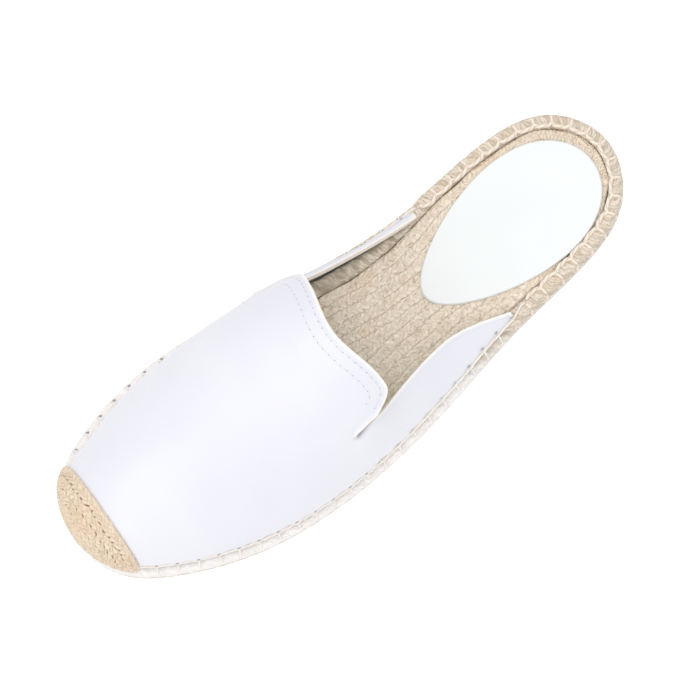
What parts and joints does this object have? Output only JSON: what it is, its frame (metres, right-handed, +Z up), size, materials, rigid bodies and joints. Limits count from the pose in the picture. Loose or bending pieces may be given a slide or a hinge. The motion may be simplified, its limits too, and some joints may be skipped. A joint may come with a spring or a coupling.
{
  "type": "espadrille",
  "caption": "Backless left espadrille: leather vamp with a curved tab, woven jute toe cap, jute rope sole with a rim around the insole, heel pad.",
  "frame": {"origin": "on the floor under the middle of the sole", "axes": "+X to the toe, +Y to the outer side of the left foot, +Z up"},
  "size_m": [0.2504, 0.0861, 0.0671],
  "materials": {
    "rubber": "matte",
    "sole_rope": "coarse rope",
    "rim_rope": "coarse rope",
    "insole_rope": "coarse rope",
    "sock": "smooth matte",
    "leather": "smooth satin",
    "woven_jute": "open weave"
  },
  "bodies": {
    "root": {"outsole": "rubber", "jute_sole": "sole_rope", "rim_rope": "rim_rope", "insole": "insole_rope", "heel_pad": "sock", "upper": "leather", "toe_cap": "woven_jute"}
  },
  "joints": []
}
